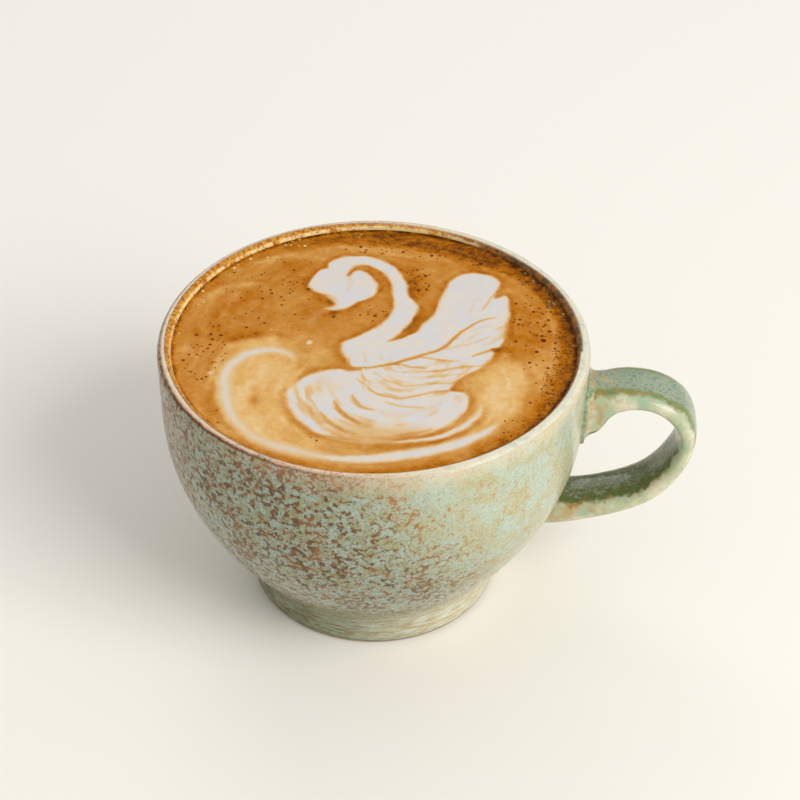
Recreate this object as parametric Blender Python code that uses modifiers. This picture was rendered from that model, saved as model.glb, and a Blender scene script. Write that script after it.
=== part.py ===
"""A latte in a glazed stoneware cup.

Metres, +Z up. The object stands on the plane z = 0, with the origin under the middle of its box.
The handle points along +X, and the cup's own axis is CUP_X to one side of the origin.
The drink fills the cup to just under the lip, with a swan of milk foam floated into its top.
"""

import math

import bmesh
import bpy
import numpy as np

# Driving dimensions, in metres
RIM_RADIUS = 0.053            # outside of the lip and of the upright wall under it
HEIGHT = 0.074
SHOULDER_Z = 0.056            # above this the wall is upright, below it the bowl curves in
BOWL_DEPTH = 0.0754           # drop from the shoulder at which the bowl's parabola would reach the axis
FOOT_RADIUS = 0.0329
FOOT_WAIST = 0.0004           # how much the foot narrows towards the ground
FOOT_BLEND = 0.0010           # softness of the hollow where the bowl meets the foot
FOOT_ROUND = 0.0016           # rounding at the foot's lower edge
FOOT_RING = 0.0055            # width of the ring that stands on the table
RECESS_DEPTH = 0.0030         # hollow inside the foot ring
RECESS_BULGE = 0.7            # share of that depth which the hollow has halfway in
LIP_THICKNESS = 0.0034
FLOOR_Z = 0.0090              # inside bottom of the cup
CAVITY_POWER = 2.3            # how boxy the inside is: 2 would be an ellipse

DRINK_LEVEL = 0.0722
GAP = 0.0003                  # clearance between pieces that touch
FOAM_DEPTH = 0.0016           # thickness of the floated milk

HANDLE_WIDTH_TOP = 0.0135
HANDLE_WIDTH_MIDDLE = 0.0148
HANDLE_WIDTH_BOTTOM = 0.0138
HANDLE_SQUARENESS = 2.6       # 2 is an oval strap, larger is squarer
HANDLE_SIDES = 20
HANDLE_STEPS = 3              # sections between two stations

TURN_STEPS = 72
TURN_MERGE = 0.00002          # points of a turned piece nearer than this are one point
WELD = 0.00001                # and those of a slab
SHARP_DEGREES = 35            # edges sharper than this stay sharp when shaded

# Where the turned sections have points: heights on the outside in millimetres, angles in degrees
OUTSIDE_HEIGHTS = (64, 56, 50, 44, 38, 32, 26, 21, 17, 14, 12, 10.4, 9, 7.5, 5, 2.8)
FOOT_ANGLES = (15, 45, 90)
CAVITY_ANGLES = (0, 12, 24, 36, 50, 64, 77, 90)
LIP_STEPS = 6

# The handle's side view, as pairs of (distance from the cup's axis, height) in millimetres:
# first a point on the outer face of the strap, then the one across from it on the finger side.
HANDLE_STATIONS = (
    ((50.7, 65.0), (50.7, 48.6)),
    ((53.6, 65.7), (53.4, 50.0)),
    ((56.6, 66.0), (56.4, 51.9)),
    ((59.2, 66.2), (58.6, 56.4)),
    ((62.6, 66.3), (62.0, 59.7)),
    ((69.4, 65.4), (68.0, 60.5)),
    ((77.6, 60.6), (73.4, 57.1)),
    ((80.8, 50.2), (76.0, 50.4)),
    ((76.7, 38.0), (72.1, 40.8)),
    ((68.6, 29.5), (65.4, 34.3)),
    ((56.6, 23.9), (54.6, 30.2)),
    ((46.4, 20.8), (47.2, 29.8)),
    ((39.7, 20.9), (44.2, 30.4)),
)

# Outlines of the milk foam, in millimetres from the cup's axis, seen from above
NECK_AND_WING = (
    (-19.1, 22.5), (-18.3, 28.0), (-15.3, 30.4), (-15.2, 33.4), (-11.8, 35.9), (-6.2, 37.1),
    (-1.0, 35.4), (3.2, 31.1), (5.8, 25.7), (6.6, 20.6), (9.3, 16.1), (8.2, 10.0),
    (6.1, 5.2), (5.1, 2.9), (6.2, 2.1), (9.0, 4.7), (11.7, 9.8), (14.1, 13.9),
    (15.0, 21.8), (16.9, 28.3), (21.1, 32.1), (26.3, 31.9), (29.3, 28.6), (28.5, 21.9),
    (31.3, 22.9), (32.4, 16.0), (31.4, 4.8), (26.2, 2.2), (20.6, 4.6), (14.9, -1.2),
    (8.5, -5.2), (1.9, -8.5), (-4.6, -9.6), (-7.9, -1.5), (-2.7, 4.0), (2.3, 10.1),
    (3.0, 17.8), (2.2, 24.7), (-0.8, 30.3), (-5.6, 32.8), (-9.6, 31.4), (-5.8, 30.1),
    (-2.4, 26.6), (-1.8, 20.7), (-6.9, 16.7), (-10.1, 13.4), (-13.7, 13.1), (-11.9, 15.9),
    (-13.5, 19.4),
)
BODY = (
    (-18.5, -22.4), (-17.1, -18.1), (-13.2, -14.0), (-8.2, -11.4), (-3.2, -11.7), (3.2, -9.9),
    (9.3, -6.5), (15.5, -2.8), (20.8, 1.2), (26.4, -0.1), (29.4, -1.9), (26.4, -7.4),
    (21.7, -11.7), (19.5, -16.1), (23.5, -18.6), (23.9, -23.9), (19.6, -30.0), (12.0, -34.8),
    (2.1, -37.2), (-7.1, -36.1), (-14.3, -31.6),
)
CRESCENT = (
    (-18.4, -6.7), (-23.6, -5.4), (-29.3, -6.8), (-33.1, -11.2), (-34.7, -17.4), (-33.6, -24.7),
    (-30.2, -31.6), (-24.8, -37.2), (-17.2, -41.5), (-7.9, -44.0), (2.1, -44.3), (12.1, -41.9),
    (20.6, -37.9), (31.1, -29.2),
)
CRESCENT_HALF_WIDTH = 0.0014
CRESCENT_TAPER = 0.35         # how early the crescent thins: 1 from the middle, 0 not at all
OUTLINE_STEPS = 4             # points on each stretch of a foam outline

# Surfaces: linear colour, roughness, clear coat
GLAZE = ((0.42, 0.50, 0.40, 1.0), 0.25, 0.6)
CREMA = ((0.52, 0.24, 0.07, 1.0), 0.35, 0.2)
FOAM = ((0.76, 0.72, 0.66, 1.0), 0.4, 0.1)

HANDLE_REACH = max(outer[0] for outer, inner in HANDLE_STATIONS) / 1000
CUP_X = -(HANDLE_REACH - RIM_RADIUS) / 2


def clear_scene():
    for old in list(bpy.data.objects):
        bpy.data.objects.remove(old, do_unlink=True)


def new_collection(name):
    collection = bpy.data.collections.new(name)
    bpy.context.scene.collection.children.link(collection)
    return collection


def material(name, colour, roughness, coat):
    made = bpy.data.materials.new(name)
    made.use_nodes = True
    shader = made.node_tree.nodes["Principled BSDF"]
    shader.inputs["Base Color"].default_value = colour
    shader.inputs["Roughness"].default_value = roughness
    shader.inputs["Metallic"].default_value = 0.0
    shader.inputs["Coat Weight"].default_value = coat
    made.diffuse_color = colour
    return made


def outer_radius(z):
    """Radius of the outside at height z: the larger of foot and bowl, with a soft hollow between them."""
    drop = max(SHOULDER_Z - z, 0.0)
    bowl = RIM_RADIUS * (1 - (drop / BOWL_DEPTH) ** 2)
    foot = FOOT_RADIUS - FOOT_WAIST * (1 - z / SHOULDER_Z)
    larger = max(bowl, foot)
    return larger + FOOT_BLEND * math.log1p(math.exp(-abs(bowl - foot) / FOOT_BLEND))


def cavity_radius(z, clearance=0.0):
    """Radius of the inside at height z: a superellipse from the floor up to the upright wall."""
    deep = (SHOULDER_Z - z) / (SHOULDER_Z - FLOOR_Z - clearance)
    deep = min(max(deep, 0.0), 1.0)
    full = RIM_RADIUS - LIP_THICKNESS - clearance
    return full * math.sqrt(1 - deep ** CAVITY_POWER)


def cavity_points(clearance=0.0):
    """The inside from the floor's middle up to the shoulder, closer together where it curves most."""
    floor = FLOOR_Z + clearance
    heights = [floor + (SHOULDER_Z - floor) * (1 - math.cos(math.radians(a))) for a in CAVITY_ANGLES]
    return [(cavity_radius(z, clearance), z) for z in heights]


def lip_points():
    """The rounded lip, from the inside over its crest to the outside."""
    half = LIP_THICKNESS / 2
    centre = (RIM_RADIUS - half, HEIGHT - half)
    angles = [math.pi * (1 - i / LIP_STEPS) for i in range(LIP_STEPS + 1)]
    return [(centre[0] + half * math.cos(a), centre[1] + half * math.sin(a)) for a in angles]


def cup_profile():
    """The cup's section: floor, inside, lip, outside, foot and the hollow under it, from axis to axis."""
    outside = [(outer_radius(z / 1000), z / 1000) for z in OUTSIDE_HEIGHTS]
    edge = outer_radius(0.0) - FOOT_ROUND
    corner = [(edge + FOOT_ROUND * math.cos(a), FOOT_ROUND * (1 - math.sin(a)))
              for a in map(math.radians, FOOT_ANGLES)]
    ring = outer_radius(0.0) - FOOT_RING
    under = [(ring, 0.0), (ring - RECESS_DEPTH / 2, RECESS_DEPTH * RECESS_BULGE),
             (ring - RECESS_DEPTH, RECESS_DEPTH), (0.0, RECESS_DEPTH)]
    return cavity_points() + lip_points() + outside + corner + under


def drink_profile():
    """The drink's section: its level top, then down the wall to the floor, clear of the cup by the gap."""
    top = [(0.0, DRINK_LEVEL), (cavity_radius(DRINK_LEVEL, GAP), DRINK_LEVEL)]
    return top + cavity_points(GAP)[::-1]


def mesh_object(name, mesh, collection):
    made = bpy.data.objects.new(name, mesh)
    collection.objects.link(made)
    return made


def turned(name, profile, collection):
    """A profile of (radius, height) turned about the upright axis with a Screw modifier."""
    mesh = bpy.data.meshes.new(name)
    edges = [(i, i + 1) for i in range(len(profile) - 1)]
    mesh.from_pydata([(x, 0.0, z) for x, z in profile], edges, [])
    made = mesh_object(name, mesh, collection)
    screw = made.modifiers.new("turn", "SCREW")
    screw.steps = TURN_STEPS
    screw.render_steps = TURN_STEPS
    screw.use_merge_vertices = True
    screw.merge_threshold = TURN_MERGE
    return made


def through(points, steps, closed):
    """Points on a Catmull-Rom curve through the given ones: each stretch is a cubic whose slope at a
    point is half the step from its neighbour before to its neighbour after."""
    points = np.array(points, float)
    if closed:
        padded = np.vstack([points[-1:], points, points[:2]])
    else:
        padded = np.vstack([2 * points[0] - points[1], points, 2 * points[-1] - points[-2]])
    before, start, end, after = padded[:-3], padded[1:-2], padded[2:-1], padded[3:]
    t = np.arange(steps)[:, None, None] / steps
    curve = (start + (end - before) * t / 2 + (2 * before - 5 * start + 4 * end - after) * t ** 2 / 2
             + (3 * start - before - 3 * end + after) * t ** 3 / 2)
    curve = curve.transpose(1, 0, 2).reshape(-1, points.shape[1])
    return curve if closed else np.vstack([curve, points[-1:]])


def grown(outline, distance):
    """A closed outline moved outwards along its normals."""
    step = np.roll(outline, -1, axis=0) - np.roll(outline, 1, axis=0)
    normal = np.stack([step[:, 1], -step[:, 0]], axis=1)
    normal /= np.linalg.norm(normal, axis=1)[:, None]
    area = np.sum(outline[:, 0] * np.roll(outline[:, 1], -1) - outline[:, 1] * np.roll(outline[:, 0], -1))
    return outline + normal * distance * math.copysign(1, area)


def ribbon(centre, half_width):
    """The closed outline of a band along an open line, thinning to points at both ends."""
    step = np.gradient(centre, axis=0)
    normal = np.stack([step[:, 1], -step[:, 0]], axis=1)
    normal /= np.linalg.norm(normal, axis=1)[:, None]
    along = np.linspace(0, 1, len(centre))[:, None]
    width = half_width * (4 * along * (1 - along)) ** CRESCENT_TAPER
    outer = centre + normal * width
    inner = centre - normal * width
    return np.vstack([outer, inner[-2:0:-1]])


def slab(name, outline, bottom, top, collection):
    """A flat outline given its thickness: a filled 2D curve, made a closed mesh."""
    curve = bpy.data.curves.new(name, "CURVE")
    curve.dimensions = "2D"
    curve.fill_mode = "BOTH"
    curve.extrude = (top - bottom) / 2
    spline = curve.splines.new("POLY")
    spline.points.add(len(outline) - 1)
    for point, (x, y) in zip(spline.points, outline):
        point.co = (x, y, 0.0, 1.0)
    spline.use_cyclic_u = True
    guide = mesh_object(name + "_curve", curve, collection)
    guide.location = (CUP_X, 0.0, (top + bottom) / 2)
    bpy.context.view_layer.update()
    depsgraph = bpy.context.evaluated_depsgraph_get()
    mesh = bpy.data.meshes.new_from_object(guide.evaluated_get(depsgraph))
    welded = bmesh.new()
    welded.from_mesh(mesh)
    bmesh.ops.remove_doubles(welded, verts=welded.verts, dist=WELD)
    bmesh.ops.recalc_face_normals(welded, faces=welded.faces)
    welded.to_mesh(mesh)
    welded.free()
    made = mesh_object(name, mesh, collection)
    made.matrix_world = guide.matrix_world.copy()
    bpy.data.objects.remove(guide, do_unlink=True)
    return made


def handle_mesh(name):
    """The strap, lofted through rounded sections: each spans from its point on the outer face to the
    one on the finger side, and is as wide across as the strap is there."""
    outer = through([pair[0] for pair in HANDLE_STATIONS], HANDLE_STEPS, False) / 1000
    inner = through([pair[1] for pair in HANDLE_STATIONS], HANDLE_STEPS, False) / 1000
    along = np.linspace(0, 1, len(outer))
    width = np.interp(along, (0, 0.5, 1), (HANDLE_WIDTH_TOP, HANDLE_WIDTH_MIDDLE, HANDLE_WIDTH_BOTTOM))
    angle = np.arange(HANDLE_SIDES) * 2 * math.pi / HANDLE_SIDES
    across = np.sign(np.cos(angle)) * np.abs(np.cos(angle)) ** (2 / HANDLE_SQUARENESS)
    sideways = np.sign(np.sin(angle)) * np.abs(np.sin(angle)) ** (2 / HANDLE_SQUARENESS)
    shaped = bmesh.new()
    rings = []
    for far, near, span in zip(outer, inner, width):
        middle = (far + near) / 2
        half = (far - near) / 2
        ring = []
        for a, s in zip(across, sideways):
            x, z = middle + half * a
            ring.append(shaped.verts.new((x, s * span / 2, z)))
        rings.append(ring)
    for one, two in zip(rings, rings[1:]):
        for i in range(HANDLE_SIDES):
            j = (i + 1) % HANDLE_SIDES
            shaped.faces.new((one[i], one[j], two[j], two[i]))
    shaped.faces.new(rings[0][::-1])
    shaped.faces.new(rings[-1])
    bmesh.ops.recalc_face_normals(shaped, faces=shaped.faces)
    mesh = bpy.data.meshes.new(name)
    shaped.to_mesh(mesh)
    shaped.free()
    return mesh


def boolean(target, tool, operation):
    change = target.modifiers.new(tool.name, "BOOLEAN")
    change.operation = operation
    change.object = tool
    change.solver = "EXACT"


def as_guide(tool):
    tool.hide_render = True
    tool.display_type = "WIRE"


def finish(piece, surface):
    """Replaces a piece's modifiers with their result, shades it smooth and gives it its material."""
    bpy.context.view_layer.update()
    depsgraph = bpy.context.evaluated_depsgraph_get()
    mesh = bpy.data.meshes.new_from_object(piece.evaluated_get(depsgraph))
    piece.modifiers.clear()
    piece.data = mesh
    mesh.name = piece.name
    mesh.materials.clear()
    mesh.materials.append(surface)
    mesh.shade_smooth()
    mesh.set_sharp_from_angle(angle=math.radians(SHARP_DEGREES))


def build_cup(parts, guides):
    """Cup body and handle are one piece of stoneware."""
    cup = turned("cup", cup_profile(), parts)
    cup.location.x = CUP_X
    strap = mesh_object("strap", handle_mesh("strap"), guides)
    strap.location.x = CUP_X
    as_guide(strap)
    boolean(cup, strap, "UNION")
    finish(cup, material("celadon_glaze", *GLAZE))


def build_drink(parts, guides):
    """The coffee up to its level, with the milk foam let into its top in three separate pieces."""
    outlines = {
        "foam_neck_and_wing": through(NECK_AND_WING, OUTLINE_STEPS, True) / 1000,
        "foam_body": through(BODY, OUTLINE_STEPS, True) / 1000,
        "foam_crescent": ribbon(through(CRESCENT, OUTLINE_STEPS, False) / 1000, CRESCENT_HALF_WIDTH),
    }
    coffee = turned("coffee", drink_profile(), parts)
    coffee.location.x = CUP_X
    floor = DRINK_LEVEL - FOAM_DEPTH
    above = DRINK_LEVEL + FOAM_DEPTH
    for name, outline in outlines.items():
        pocket = slab(name + "_pocket", grown(outline, GAP), floor - GAP, above, guides)
        as_guide(pocket)
        boolean(coffee, pocket, "DIFFERENCE")
    finish(coffee, material("crema", *CREMA))
    foam = material("milk_foam", *FOAM)
    for name, outline in outlines.items():
        finish(slab(name, outline, floor, DRINK_LEVEL, parts), foam)


def main():
    clear_scene()
    parts = new_collection("latte")
    guides = new_collection("guides")
    build_cup(parts, guides)
    build_drink(parts, guides)


main()
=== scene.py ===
import math

import bpy
import numpy as np
from mathutils import Matrix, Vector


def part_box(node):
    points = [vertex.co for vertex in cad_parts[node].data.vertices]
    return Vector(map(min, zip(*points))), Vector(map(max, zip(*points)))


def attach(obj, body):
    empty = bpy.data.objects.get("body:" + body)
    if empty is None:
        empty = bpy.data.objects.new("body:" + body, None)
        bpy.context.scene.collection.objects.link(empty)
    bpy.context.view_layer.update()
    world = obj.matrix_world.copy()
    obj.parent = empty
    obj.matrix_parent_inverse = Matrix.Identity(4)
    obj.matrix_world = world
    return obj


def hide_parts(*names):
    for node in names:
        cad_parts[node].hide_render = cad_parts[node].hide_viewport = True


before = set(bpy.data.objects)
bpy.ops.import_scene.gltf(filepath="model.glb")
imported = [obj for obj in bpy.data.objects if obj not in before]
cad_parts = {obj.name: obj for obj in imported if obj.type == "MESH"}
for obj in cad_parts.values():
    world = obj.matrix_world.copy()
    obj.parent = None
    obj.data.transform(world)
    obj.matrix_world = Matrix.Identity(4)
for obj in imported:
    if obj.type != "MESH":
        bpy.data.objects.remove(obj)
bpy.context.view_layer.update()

# Cup body
# The body is one turned piece of stoneware: a round bowl on a low foot, with a rounded lip. It is made
# as a fine surface of revolution, from the middle of the inside over the lip and down to the hollow
# under the foot. Lengths are millimetres up to the stage section; new_piece turns them into metres.
MM = 0.001
cup_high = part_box("cup")[1]
drink_low, drink_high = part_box("coffee")
axis_x = (drink_low.x + drink_high.x) / 2 / MM
height = cup_high.z / MM
rim_radius = cup_high.y / MM
drink_level = drink_high.z / MM
wall_inside = (drink_high.x - drink_low.x) / 2 / MM + 0.3
floor_inside = drink_low.z / MM - 0.3
shoulder = 56
bowl_depth = 75.4
foot_radius = 32.9
foot_waist = 0.4
foot_blend = 1.5
foot_round = 1.6
foot_ring = 5.5
recess_depth = 3
recess_centre = 15
cavity_power = 2.3
throwing_mark = 0.035
wall_uneven = 0.1
rim_dip = 0.12
bare_below = 0.9
body_turns = 360


def srgb(red, green, blue):
    """A screen colour of 0 to 255 as the linear colour that shaders use."""
    screen = np.array([red, green, blue]) / 255
    linear = np.where(screen < 0.04045, screen / 12.92, ((screen + 0.055) / 1.055) ** 2.4)
    return (*linear.tolist(), 1)


def soft_step(low, high, value):
    """0 below low, 1 above high, and 3t^2 - 2t^3 between them."""
    t = np.clip((value - low) / (high - low), 0, 1)
    return t * t * (3 - 2 * t)


def hill(low, full, still, high, value):
    """A soft step up from low to full, times a soft step down from still to high."""
    return soft_step(low, full, value) * soft_step(high, still, value)


def outer_radius(z):
    """Radius of the outside at height z: the larger of a parabola for the bowl and a slightly waisted
    foot, plus blend times ln(1 + e^(-difference / blend)), which rounds the hollow between them."""
    bowl = rim_radius * (1 - (np.maximum(shoulder - z, 0) / bowl_depth) ** 2)
    foot = foot_radius - foot_waist * (1 - z / shoulder)
    return np.maximum(bowl, foot) + foot_blend * np.log1p(np.exp(-np.abs(bowl - foot) / foot_blend))


def cavity_radius(z):
    """Radius of the inside at height z: a superellipse from the floor up to the upright wall."""
    deep = np.clip((shoulder - z) / (shoulder - floor_inside), 0, 1)
    return wall_inside * np.sqrt(1 - deep ** cavity_power)


def around(radius, turn, z):
    """Points at a radius and an angle round the cup's axis, and at height z."""
    return np.stack([axis_x + radius * np.cos(turn), radius * np.sin(turn), z], -1)


def grid_quads(rows, columns):
    """Corner numbers of the four-cornered faces of a grid whose rows close on themselves."""
    row = np.arange(rows - 1)[:, None] * columns
    corner = row + np.arange(columns)
    beside = row + (np.arange(columns) + 1) % columns
    return np.stack([corner, beside, beside + columns, corner + columns], -1).reshape(-1, 4)


def fan(ring, centre):
    """Corner numbers of the three-cornered faces between a closed ring of points and one centre."""
    return np.stack([ring, np.roll(ring, -1), np.full(len(ring), centre)], -1)


def tube_faces(rows, columns):
    """Corner numbers of the faces of a tube, points row by row: a grid, and at each end a fan round one
    of the two points that follow them."""
    first = np.arange(columns)
    count = rows * columns
    ends = np.vstack([fan(first[::-1], count), fan(count - columns + first, count + 1)])
    return grid_quads(rows, columns), ends


def placed(name, data):
    """A new object with this data, linked into the scene."""
    made = bpy.data.objects.new(name, data)
    bpy.context.scene.collection.objects.link(made)
    return made


def new_piece(name, points, quads, triangles, attributes):
    """A smooth mesh object from points in millimetres and arrays of corner numbers. Each named array of
    values is kept on its points in order, with 0 on those left over."""
    mesh = bpy.data.meshes.new(name)
    mesh.vertices.add(len(points))
    mesh.vertices.foreach_set("co", (points * MM).astype(np.float32).ravel())
    corners = np.concatenate([quads.ravel(), triangles.ravel()])
    mesh.loops.add(len(corners))
    mesh.loops.foreach_set("vertex_index", corners.astype(np.int32))
    starts = np.concatenate([np.arange(len(quads)) * 4, quads.size + np.arange(len(triangles)) * 3])
    mesh.polygons.add(len(starts))
    mesh.polygons.foreach_set("loop_start", starts.astype(np.int32))
    mesh.update(calc_edges=True)
    mesh.validate()
    for label, values in attributes.items():
        values = np.append(values, np.zeros(len(points) - values.size))
        mesh.attributes.new(label, "FLOAT", "POINT").data.foreach_set("value", values.astype(np.float32))
    mesh.shade_smooth()
    return placed(name, mesh)


def arc(centre, middle, radius, start, end, count):
    """Points of a round stretch of the section, from one angle to another in degrees."""
    angle = np.radians(np.linspace(start, end, count))
    return np.stack([centre + radius * np.cos(angle), middle + radius * np.sin(angle)], -1)


def body_profile():
    """Radius and height along the section, in order: the cavity wall, the lip's half circle, the
    outside, the rounded edge of the foot, its flat ring and the hollow under it."""
    deep = np.radians(np.linspace(6, 90, 14))
    inside_z = floor_inside + (shoulder - floor_inside) * (1 - np.cos(deep))
    upright_z = np.concatenate([np.linspace(shoulder, 69, 5)[1:], np.linspace(69.4, height - 2.2, 8)])
    half = (rim_radius - wall_inside) / 2
    outside_z = np.linspace(height - half - 0.5, foot_round + 0.3, 132)
    foot_edge = outer_radius(0)
    return np.vstack([
        np.stack([cavity_radius(inside_z), inside_z], -1),
        np.stack([np.full(len(upright_z), wall_inside), upright_z], -1),
        arc(rim_radius - half, height - half, half, 180, 0, 25),
        np.stack([outer_radius(outside_z), outside_z], -1),
        arc(foot_edge - foot_round, foot_round, foot_round, -10, -90, 8),
        arc(foot_edge - foot_ring, recess_depth, recess_depth, -90, -180, 7),
        [[recess_centre, recess_depth]],
    ])


def make_body():
    """The profile carried round the axis. The throwing marks are sines of the height on the foot, and
    slow sines of the angle keep the wall from being perfectly round. Its points know where the glaze
    is thin, bare or inside the lip, and where a pale band lies inside the lip at the back, partly
    dried foam and partly a painted highlight."""
    profile = body_profile()
    rows = len(profile)
    radius, z = (np.repeat(column[:, None], body_turns, axis=1) for column in profile.T)
    turn = np.repeat(np.arange(body_turns)[None, :] * 2 * math.pi / body_turns, rows, axis=0)
    share = radius / np.maximum(outer_radius(z), 1)
    outside = soft_step(rim_radius - 2, rim_radius - 1, share * rim_radius)
    thrown = throwing_mark * np.sin(z * 7.5 + 0.6 * np.sin(turn * 2)) * hill(1.5, 3, 9, 15, z)
    swell = 1 + 0.6 * np.sin(turn * 2 + z * 0.05) + 0.4 * np.sin(turn * 3 + 1.3 - z * 0.09)
    radius = radius + outside * (thrown - wall_uneven * swell * soft_step(73, 66, z))
    z = z - rim_dip * soft_step(70, 73.5, z) * (1 - np.cos(turn * 2 + 0.8)) / 2
    grid = around(radius, turn, z).reshape(-1, 3)
    points = np.vstack([grid, [axis_x, 0, floor_inside], [axis_x, 0, recess_depth]])
    quads, ends = tube_faces(rows, body_turns)

    crest = (rim_radius + wall_inside) / 2
    degrees = np.degrees(turn)
    stained = 0.55 * hill(95, 120, 185, 215, degrees) + 0.45 * soft_step(50, 30, degrees)
    within = soft_step(crest - 0.5 + stained, crest - 1.1 + stained, radius) * soft_step(60, 66, z)
    within = np.maximum(within, (z > floor_inside) & (radius <= cavity_radius(z) + 0.01) & (z < 66))
    lip = np.clip((z - height) / 2 + 1, 0, 1) * (1 - within)
    bare = soft_step(bare_below, 0.2, z) * (radius > 20)
    # The pale band at the back of the inside lip: partly dried foam, partly a painted highlight
    wet = (hill(78, 81, 99, 102, degrees) + hill(61, 64, 70, 73, degrees)) * hill(72.1, 72.4, 72.9, 73.2, z)
    attributes = {"inner": np.append(within, 1), "thin": lip, "bare": bare, "wet": wet * within}
    return new_piece("cup_body", points, quads[:, ::-1], ends[:, ::-1], attributes)


# Glaze
# A glossy reactive glaze over brown stoneware: grey-green celadon that breaks into a web of brown
# specks, turning paler, to mint with tan threads, towards the handle on the lit side, which is partly
# the glaze and partly painted light, cream over the lip, and streaks of mint and tan on the foot. The
# wall inside the lip is wet with golden crema.
celadon = srgb(156, 162, 130)
sea_green = srgb(162, 180, 166)
pale_green = srgb(188, 188, 148)
mint = srgb(184, 202, 184)
khaki = srgb(150, 142, 100)
cream = srgb(226, 208, 178)
lip_white_and_highlight = srgb(224, 221, 200)
brown = srgb(138, 84, 34)
dark_brown = srgb(94, 58, 22)
olive_brown = srgb(118, 84, 40)
clay_tan = srgb(182, 146, 112)
tan = srgb(190, 140, 84)
blush = srgb(204, 150, 112)
lip_line = srgb(104, 50, 28)
foot_line = srgb(96, 106, 80)
gold = srgb(216, 160, 52)
stain = srgb(174, 94, 22)
wet_brown = srgb(80, 40, 8)
pale_fleck_and_glint = srgb(246, 226, 166)
bubble_glint_fleck = srgb(118, 112, 76)
dried_foam_and_highlight = srgb(222, 200, 140)
bare_clay = srgb(176, 144, 108)
densest_at = 6
palest_at = 42
speck_size = 1.4
small_speck_size = 0.62
coat_weight = 0.18
coat_roughness = 0.05
bump_depth = 0.2


def wire(kind, values, **settings):
    """A new node in the tree that its linked values come from. Each value is a socket to link from, or a
    constant, by the input's name or number."""
    tree = next(value.id_data for value in values.values() if isinstance(value, bpy.types.NodeSocket))
    made = tree.nodes.new(kind)
    for name, setting in settings.items():
        setattr(made, name, setting)
    for name, value in values.items():
        if isinstance(value, bpy.types.NodeSocket):
            tree.links.new(value, made.inputs[name])
        else:
            made.inputs[name].default_value = value
    return made


def sums(operation, first, second=0, third=0):
    """The result of one of the arithmetic node's operations."""
    return wire("ShaderNodeMath", {0: first, 1: second, 2: third}, operation=operation).outputs[0]


def times(first, second):
    """The first value times the second."""
    return sums("MULTIPLY", first, second)


def scaled(value, factor, offset):
    """Value times factor, plus offset."""
    return sums("MULTIPLY_ADD", value, factor, offset)


def blended(factor, first, second, strength=1):
    """The first colour where factor is 0, the second where it is 1 and strength is 1."""
    if strength != 1:
        factor = times(factor, strength)
    return wire("ShaderNodeMix", {0: factor, 6: first, 7: second}, data_type="RGBA").outputs[2]


def between(value, low, high):
    """0 at low, 1 at high, smoothly between them."""
    values = {0: value, 1: low, 2: high}
    return wire("ShaderNodeMapRange", values, interpolation_type="SMOOTHSTEP").outputs[0]


def hump(value, low, full, still, high):
    """What hill does with numbers, in nodes: up from low to full and down from still to high."""
    return times(between(value, low, full), between(value, high, still))


def noise(place, scale, detail, roughness, output=0):
    """The noise texture, with scale blots to a millimetre: output 0 is a value and 1 a colour."""
    values = {"Vector": place, "Scale": scale, "Detail": detail, "Roughness": roughness}
    return wire("ShaderNodeTexNoise", values).outputs[output]


def clouds(place, size, detail=3, roughness=0.55):
    """Noise from 0 to 1 whose blots are about size millimetres wide."""
    return noise(place, 1 / size, detail, roughness)


def swings(place, size, detail=3):
    """The same noise less its middle value."""
    return sums("SUBTRACT", clouds(place, size, detail), 0.5)


def in_millimetres(tree, stretch=(1, 1, 1)):
    """Object coordinates in millimetres, drawn out by stretch along each axis."""
    place = tree.nodes.new("ShaderNodeTexCoord").outputs["Object"]
    scale = tuple(1 / (MM * s) for s in stretch)
    return wire("ShaderNodeMapping", {"Vector": place, "Scale": scale}).outputs[0]


def value_of(tree, name):
    """The values that new_piece kept on the points under this name."""
    made = tree.nodes.new("ShaderNodeAttribute")
    made.attribute_name = name
    return made.outputs["Fac"]


def speck_group():
    """Shader group. Specks: fine clouds cut off at a level that broad clouds and the wanted cover move.
    Web: the lines along which a second fine cloud is near its middle value."""
    group = bpy.data.node_groups.new("specks", "ShaderNodeTree")
    for name, kind in (("Place", "Vector"), ("Size", "Float"), ("Cover", "Float")):
        group.interface.new_socket(name, in_out="INPUT", socket_type="NodeSocket" + kind)
    for name in ("Specks", "Web"):
        group.interface.new_socket(name, in_out="OUTPUT", socket_type="NodeSocketFloat")
    place, size, cover = tuple(group.nodes.new("NodeGroupInput").outputs)[:3]
    scale = sums("DIVIDE", 1, size)
    fine = noise(place, scale, 3, 0.6)
    aside = wire("ShaderNodeVectorMath", {0: place, 1: (37, 11, 5)}).outputs[0]
    lines = noise(aside, scale, 2, 0.5)
    level = scaled(swings(place, 9, 2), -0.2, scaled(cover, -0.32, 0.67))
    cut = between(fine, level, sums("ADD", level, 0.09))
    off = sums("ABSOLUTE", sums("SUBTRACT", lines, 0.5))
    web = between(off, 0.035, 0.008)
    wire("NodeGroupOutput", {"Specks": cut, "Web": web})
    return group


specks = speck_group()


def specked(place, size, cover):
    """The two outputs of the specks group, wired in."""
    made = wire("ShaderNodeGroup", {"Place": place, "Size": size, "Cover": cover}, node_tree=specks)
    return made.outputs["Specks"], made.outputs["Web"]


def new_finish(name, roughness, specular=0.1, coat=coat_weight):
    """A new material, under a thin clear coat unless coat is 0, with its tree and its shader."""
    made = bpy.data.materials.new(name)
    made.use_nodes = True
    shader = made.node_tree.nodes["Principled BSDF"]
    shader.inputs["Roughness"].default_value = roughness
    shader.inputs["Specular IOR Level"].default_value = specular
    shader.inputs["Coat Weight"].default_value = coat
    shader.inputs["Coat Roughness"].default_value = coat_roughness
    return made, made.node_tree, shader


def feed(shader, name, value):
    """Link a value to one of the shader's inputs."""
    shader.id_data.links.new(value, shader.inputs[name])


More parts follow.
